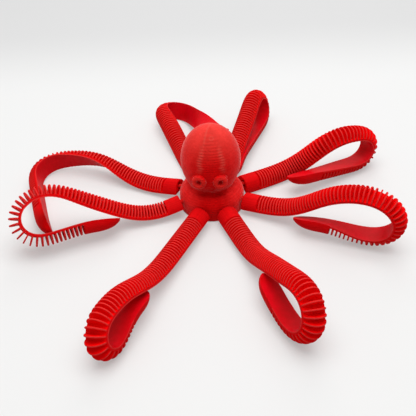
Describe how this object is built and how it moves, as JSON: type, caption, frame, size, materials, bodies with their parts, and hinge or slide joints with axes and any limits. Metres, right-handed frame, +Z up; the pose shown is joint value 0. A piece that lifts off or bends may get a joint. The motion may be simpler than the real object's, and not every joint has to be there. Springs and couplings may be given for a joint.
{
  "type": "toy octopus",
  "caption": "Printed toy octopus with an egg-shaped head on a low hub and bendy ribbed arms that clip to ball studs and curl back in loops",
  "frame": {"origin": "middle of the flat underside of the hub, on the table", "axes": "+Z up through the head, -Y the way the face looks, +X to the right as seen from the front"},
  "size_m": [0.1943, 0.2053, 0.0472],
  "materials": {
    "body": "matt red print with fine layer lines",
    "arms": "matt red print, satin on the flat side"
  },
  "bodies": {
    "body": {"body": "body"},
    "front_left_collar": {"front_left_collar": "arms"},
    "front_left_root": {"front_left_root": "arms"},
    "front_left_rise": {"front_left_rise": "arms"},
    "front_left_crown": {"front_left_crown": "arms"},
    "front_left_loop": {"front_left_loop": "arms"},
    "front_left_tip": {"front_left_tip": "arms"},
    "front_right_collar": {"front_right_collar": "arms"},
    "front_right_root": {"front_right_root": "arms"},
    "front_right_rise": {"front_right_rise": "arms"},
    "front_right_crown": {"front_right_crown": "arms"},
    "front_right_loop": {"front_right_loop": "arms"},
    "front_right_tip": {"front_right_tip": "arms"},
    "right_front_collar": {"right_front_collar": "arms"},
    "right_front_root": {"right_front_root": "arms"},
    "right_front_rise": {"right_front_rise": "arms"},
    "right_front_crown": {"right_front_crown": "arms"},
    "right_front_loop": {"right_front_loop": "arms"},
    "right_front_tip": {"right_front_tip": "arms"},
    "right_back_collar": {"right_back_collar": "arms"},
    "right_back_root": {"right_back_root": "arms"},
    "right_back_rise": {"right_back_rise": "arms"},
    "right_back_crown": {"right_back_crown": "arms"},
    "right_back_loop": {"right_back_loop": "arms"},
    "right_back_tip": {"right_back_tip": "arms"},
    "back_right_collar": {"back_right_collar": "arms"},
    "back_right_root": {"back_right_root": "arms"},
    "back_right_rise": {"back_right_rise": "arms"},
    "back_right_crown": {"back_right_crown": "arms"},
    "back_right_loop": {"back_right_loop": "arms"},
    "back_right_tip": {"back_right_tip": "arms"},
    "back_left_collar": {"back_left_collar": "arms"},
    "back_left_root": {"back_left_root": "arms"},
    "back_left_rise": {"back_left_rise": "arms"},
    "back_left_crown": {"back_left_crown": "arms"},
    "back_left_loop": {"back_left_loop": "arms"},
    "back_left_tip": {"back_left_tip": "arms"},
    "left_back_collar": {"left_back_collar": "arms"},
    "left_back_root": {"left_back_root": "arms"},
    "left_back_rise": {"left_back_rise": "arms"},
    "left_back_crown": {"left_back_crown": "arms"},
    "left_back_loop": {"left_back_loop": "arms"},
    "left_back_tip": {"left_back_tip": "arms"},
    "left_front_collar": {"left_front_collar": "arms"},
    "left_front_root": {"left_front_root": "arms"},
    "left_front_rise": {"left_front_rise": "arms"},
    "left_front_crown": {"left_front_crown": "arms"},
    "left_front_loop": {"left_front_loop": "arms"},
    "left_front_tip": {"left_front_tip": "arms"}
  },
  "joints": [
    {"name": "front_left_swing", "type": "hinge", "parent": "body", "child": "front_left_collar", "pos_m": [-0.00811, -0.01959, 0.0065], "axis": [0, 0, 1], "range_deg": [-9, 9]},
    {"name": "front_left_lift", "type": "hinge", "parent": "front_left_collar", "child": "front_left_root", "pos_m": [-0.01318, -0.03126, 0.00479], "axis": [0.886, -0.4145, 0.2078], "range_deg": [-6, 0]},
    {"name": "front_left_rise_flex", "type": "hinge", "parent": "front_left_root", "child": "front_left_rise", "pos_m": [-0.01758, -0.04049, 0.00515], "axis": [0.886, -0.4145, 0.2078], "range_deg": [-6.2, 0.2]},
    {"name": "front_left_crown_flex", "type": "hinge", "parent": "front_left_rise", "child": "front_left_crown", "pos_m": [-0.02209, -0.04994, 0.00553], "axis": [0.886, -0.4145, 0.2078], "range_deg": [-6.2, 0.2]},
    {"name": "front_left_loop_flex", "type": "hinge", "parent": "front_left_crown", "child": "front_left_loop", "pos_m": [-0.04832, -0.10003, 0.01764], "axis": [0.8773, -0.4074, 0.2538], "range_deg": [-8.6, 0.2]},
    {"name": "front_left_tip_flex", "type": "hinge", "parent": "front_left_loop", "child": "front_left_tip", "pos_m": [-0.04542, -0.10204, 0.00566], "axis": [0.8574, -0.4437, 0.2607], "range_deg": [-8.6, 0.2]},
    {"name": "front_right_swing", "type": "hinge", "parent": "body", "child": "front_right_collar", "pos_m": [0.00811, -0.01959, 0.0065], "axis": [0, 0, 1], "range_deg": [-9, 9]},
    {"name": "front_right_lift", "type": "hinge", "parent": "front_right_collar", "child": "front_right_root", "pos_m": [0.01265, -0.0313, 0.00386], "axis": [0.9337, 0.3577, 0.0174], "range_deg": [-6, 0]},
    {"name": "front_right_rise_flex", "type": "hinge", "parent": "front_right_root", "child": "front_right_rise", "pos_m": [0.01629, -0.0408, 0.00385], "axis": [0.9337, 0.3577, 0.0174], "range_deg": [-6.2, 0.2]},
    {"name": "front_right_crown_flex", "type": "hinge", "parent": "front_right_rise", "child": "front_right_crown", "pos_m": [0.01991, -0.05033, 0.00553], "axis": [0.9337, 0.3577, 0.0174], "range_deg": [-6.2, 0.2]},
    {"name": "front_right_loop_flex", "type": "hinge", "parent": "front_right_crown", "child": "front_right_loop", "pos_m": [0.03705, -0.09642, 0.02311], "axis": [0.9333, 0.322, -0.159], "range_deg": [-8.6, 0.2]},
    {"name": "front_right_tip_flex", "type": "hinge", "parent": "front_right_loop", "child": "front_right_tip", "pos_m": [0.036, -0.10235, 0.01001], "axis": [0.8836, 0.4065, -0.2322], "range_deg": [-8.6, 0.2]},
    {"name": "right_front_swing", "type": "hinge", "parent": "body", "child": "right_front_collar", "pos_m": [0.01959, -0.00811, 0.0065], "axis": [0, 0, 1], "range_deg": [-9, 9]},
    {"name": "right_front_lift", "type": "hinge", "parent": "right_front_collar", "child": "right_front_root", "pos_m": [0.03085, -0.01396, 0.00554], "axis": [0.464, 0.8831, 0.0696], "range_deg": [-6, 0]},
    {"name": "right_front_rise_flex", "type": "hinge", "parent": "right_front_root", "child": "right_front_rise", "pos_m": [0.03937, -0.01864, 0.00817], "axis": [0.464, 0.8831, 0.0696], "range_deg": [-6.2, 0.2]},
    {"name": "right_front_crown_flex", "type": "hinge", "parent": "right_front_rise", "child": "right_front_crown", "pos_m": [0.04722, -0.02315, 0.01314], "axis": [0.464, 0.8831, 0.0696], "range_deg": [-6.2, 0.2]},
    {"name": "right_front_loop_flex", "type": "hinge", "parent": "right_front_crown", "child": "right_front_loop", "pos_m": [0.08117, -0.04199, 0.02585], "axis": [0.4587, 0.8871, 0.0515], "range_deg": [-6.2, 0.2]},
    {"name": "right_front_tip_flex", "type": "hinge", "parent": "right_front_loop", "child": "right_front_tip", "pos_m": [0.08397, -0.04306, 0.01132], "axis": [0.3666, 0.93, 0.0273], "range_deg": [-6.2, 0.2]},
    {"name": "right_back_swing", "type": "hinge", "parent": "body", "child": "right_back_collar", "pos_m": [0.01959, 0.00811, 0.0065], "axis": [0, 0, 1], "range_deg": [-9, 9]},
    {"name": "right_back_lift", "type": "hinge", "parent": "right_back_collar", "child": "right_back_root", "pos_m": [0.03025, 0.01479, 0.00407], "axis": [-0.3895, 0.7926, 0.469], "range_deg": [-5, 0]},
    {"name": "right_back_rise_flex", "type": "hinge", "parent": "right_back_root", "child": "right_back_rise", "pos_m": [0.03941, 0.01888, 0.00477], "axis": [-0.3895, 0.7926, 0.469], "range_deg": [-5.2, 0.2]},
    {"name": "right_back_crown_flex", "type": "hinge", "parent": "right_back_rise", "child": "right_back_crown", "pos_m": [0.04859, 0.02121, 0.00846], "axis": [-0.3895, 0.7926, 0.469], "range_deg": [-5.2, 0.2]},
    {"name": "right_back_loop_flex", "type": "hinge", "parent": "right_back_crown", "child": "right_back_loop", "pos_m": [0.08368, 0.0283, 0.0198], "axis": [-0.3838, 0.922, -0.0515], "range_deg": [-3.2, 0.2]},
    {"name": "right_back_tip_flex", "type": "hinge", "parent": "right_back_loop", "child": "right_back_tip", "pos_m": [0.08459, 0.02682, 0.00651], "axis": [-0.4897, 0.8649, -0.1099], "range_deg": [-3.2, 0.2]},
    {"name": "back_right_swing", "type": "hinge", "parent": "body", "child": "back_right_collar", "pos_m": [0.00811, 0.01959, 0.0065], "axis": [0, 0, 1], "range_deg": [-6, 0]},
    {"name": "back_right_lift", "type": "hinge", "parent": "back_right_collar", "child": "back_right_root", "pos_m": [0.01278, 0.03151, 0.00749], "axis": [-0.8984, 0.3712, -0.2347], "range_deg": [-4, 0]},
    {"name": "back_right_rise_flex", "type": "hinge", "parent": "back_right_root", "child": "back_right_rise", "pos_m": [0.01601, 0.04089, 0.00996], "axis": [-0.8984, 0.3712, -0.2347], "range_deg": [-4.2, 0.2]},
    {"name": "back_right_crown_flex", "type": "hinge", "parent": "back_right_rise", "child": "back_right_crown", "pos_m": [0.01932, 0.05051, 0.0125], "axis": [-0.8984, 0.3712, -0.2347], "range_deg": [-4.2, 0.2]},
    {"name": "back_right_loop_flex", "type": "hinge", "parent": "back_right_crown", "child": "back_right_loop", "pos_m": [0.02819, 0.07581, 0.01859], "axis": [-0.8913, 0.3734, -0.2573], "range_deg": [-0.6, 0.2]},
    {"name": "back_right_tip_flex", "type": "hinge", "parent": "back_right_loop", "child": "back_right_tip", "pos_m": [0.03269, 0.07834, 0.00714], "axis": [-0.8953, 0.3581, -0.2648], "range_deg": [-0.6, 0.2]},
    {"name": "back_left_swing", "type": "hinge", "parent": "body", "child": "back_left_collar", "pos_m": [-0.00811, 0.01959, 0.0065], "axis": [0, 0, 1], "range_deg": [0, 6]},
    {"name": "back_left_lift", "type": "hinge", "parent": "back_left_collar", "child": "back_left_root", "pos_m": [-0.01103, 0.03133, 0.00268], "axis": [-0.9371, -0.2943, -0.1879], "range_deg": [-6, 0]},
    {"name": "back_left_rise_flex", "type": "hinge", "parent": "back_left_root", "child": "back_left_rise", "pos_m": [-0.01409, 0.04095, 0.00284], "axis": [-0.9371, -0.2943, -0.1879], "range_deg": [-6.2, 0.2]},
    {"name": "back_left_crown_flex", "type": "hinge", "parent": "back_left_rise", "child": "back_left_crown", "pos_m": [-0.0175, 0.05061, 0.0047], "axis": [-0.9367, -0.2934, -0.1909], "range_deg": [-6.2, 0.2]},
    {"name": "back_left_loop_flex", "type": "hinge", "parent": "back_left_crown", "child": "back_left_loop", "pos_m": [-0.02703, 0.08018, 0.00807], "axis": [-0.4067, -0.0784, -0.9102], "range_deg": [-0.2, 2.6]},
    {"name": "back_left_tip_flex", "type": "hinge", "parent": "back_left_loop", "child": "back_left_tip", "pos_m": [-0.01678, 0.08797, 0.00553], "axis": [-0.1292, -0.2983, -0.9457], "range_deg": [-0.2, 2.6]},
    {"name": "left_back_swing", "type": "hinge", "parent": "body", "child": "left_back_collar", "pos_m": [-0.01959, 0.00811, 0.0065], "axis": [0, 0, 1], "range_deg": [-6, 0]},
    {"name": "left_back_lift", "type": "hinge", "parent": "left_back_collar", "child": "left_back_root", "pos_m": [-0.03049, 0.01325, 0.00254], "axis": [-0.4365, -0.8987, 0.0415], "range_deg": [-6, 0]},
    {"name": "left_back_rise_flex", "type": "hinge", "parent": "left_back_root", "child": "left_back_rise", "pos_m": [-0.03954, 0.01774, 0.00259], "axis": [-0.4296, -0.8912, 0.1457], "range_deg": [-6.2, 0.2]},
    {"name": "left_back_crown_flex", "type": "hinge", "parent": "left_back_rise", "child": "left_back_crown", "pos_m": [-0.04856, 0.02262, 0.00434], "axis": [-0.355, -0.8465, 0.3968], "range_deg": [-6.2, 0.2]},
    {"name": "left_back_loop_flex", "type": "hinge", "parent": "left_back_crown", "child": "left_back_loop", "pos_m": [-0.08484, 0.03417, 0.00778], "axis": [-0.0622, -0.1965, 0.9785], "range_deg": [-8.6, 0.2]},
    {"name": "left_back_tip_flex", "type": "hinge", "parent": "left_back_loop", "child": "left_back_tip", "pos_m": [-0.0956, 0.02392, 0.00586], "axis": [-0.1648, -0.0477, 0.9852], "range_deg": [-8.6, 0.2]},
    {"name": "left_front_swing", "type": "hinge", "parent": "body", "child": "left_front_collar", "pos_m": [-0.01959, -0.00811, 0.0065], "axis": [0, 0, 1], "range_deg": [0, 6]},
    {"name": "left_front_lift", "type": "hinge", "parent": "left_front_collar", "child": "left_front_root", "pos_m": [-0.0308, -0.0122, 0.00301], "axis": [0.264, -0.933, 0.2444], "range_deg": [-5, 0]},
    {"name": "left_front_rise_flex", "type": "hinge", "parent": "left_front_root", "child": "left_front_rise", "pos_m": [-0.0404, -0.01448, 0.00466], "axis": [0.264, -0.933, 0.2444], "range_deg": [-5.2, 0.2]},
    {"name": "left_front_crown_flex", "type": "hinge", "parent": "left_front_rise", "child": "left_front_crown", "pos_m": [-0.04976, -0.01604, 0.00884], "axis": [0.264, -0.933, 0.2445], "range_deg": [-5.2, 0.2]},
    {"name": "left_front_loop_flex", "type": "hinge", "parent": "left_front_crown", "child": "left_front_loop", "pos_m": [-0.09196, -0.02828, 0.0223], "axis": [0.3156, -0.6928, 0.6484], "range_deg": [-3.2, 0.2]},
    {"name": "left_front_tip_flex", "type": "hinge", "parent": "left_front_loop", "child": "left_front_tip", "pos_m": [-0.08669, -0.0361, 0.01172], "axis": [0.2867, -0.7017, 0.6522], "range_deg": [-3.2, 0.2]}
  ],
  "couplings": [
    {"joint": "front_left_rise_flex", "follows": "front_left_lift", "ratio": 1},
    {"joint": "front_left_crown_flex", "follows": "front_left_lift", "ratio": 1},
    {"joint": "front_left_loop_flex", "follows": "front_left_lift", "ratio": 1.4},
    {"joint": "front_left_tip_flex", "follows": "front_left_lift", "ratio": 1.4},
    {"joint": "front_right_rise_flex", "follows": "front_right_lift", "ratio": 1},
    {"joint": "front_right_crown_flex", "follows": "front_right_lift", "ratio": 1},
    {"joint": "front_right_loop_flex", "follows": "front_right_lift", "ratio": 1.4},
    {"joint": "front_right_tip_flex", "follows": "front_right_lift", "ratio": 1.4},
    {"joint": "right_front_rise_flex", "follows": "right_front_lift", "ratio": 1},
    {"joint": "right_front_crown_flex", "follows": "right_front_lift", "ratio": 1},
    {"joint": "right_front_loop_flex", "follows": "right_front_lift", "ratio": 1},
    {"joint": "right_front_tip_flex", "follows": "right_front_lift", "ratio": 1},
    {"joint": "right_back_rise_flex", "follows": "right_back_lift", "ratio": 1},
    {"joint": "right_back_crown_flex", "follows": "right_back_lift", "ratio": 1},
    {"joint": "right_back_loop_flex", "follows": "right_back_lift", "ratio": 0.6},
    {"joint": "right_back_tip_flex", "follows": "right_back_lift", "ratio": 0.6},
    {"joint": "back_right_rise_flex", "follows": "back_right_lift", "ratio": 1},
    {"joint": "back_right_crown_flex", "follows": "back_right_lift", "ratio": 1},
    {"joint": "back_right_loop_flex", "follows": "back_right_lift", "ratio": 0.1},
    {"joint": "back_right_tip_flex", "follows": "back_right_lift", "ratio": 0.1},
    {"joint": "back_left_rise_flex", "follows": "back_left_lift", "ratio": 1},
    {"joint": "back_left_crown_flex", "follows": "back_left_lift", "ratio": 1},
    {"joint": "back_left_loop_flex", "follows": "back_left_lift", "ratio": -0.4},
    {"joint": "back_left_tip_flex", "follows": "back_left_lift", "ratio": -0.4},
    {"joint": "left_back_rise_flex", "follows": "left_back_lift", "ratio": 1},
    {"joint": "left_back_crown_flex", "follows": "left_back_lift", "ratio": 1},
    {"joint": "left_back_loop_flex", "follows": "left_back_lift", "ratio": 1.4},
    {"joint": "left_back_tip_flex", "follows": "left_back_lift", "ratio": 1.4},
    {"joint": "left_front_rise_flex", "follows": "left_front_lift", "ratio": 1},
    {"joint": "left_front_crown_flex", "follows": "left_front_lift", "ratio": 1},
    {"joint": "left_front_loop_flex", "follows": "left_front_lift", "ratio": 0.6},
    {"joint": "left_front_tip_flex", "follows": "left_front_lift", "ratio": 0.6}
  ]
}
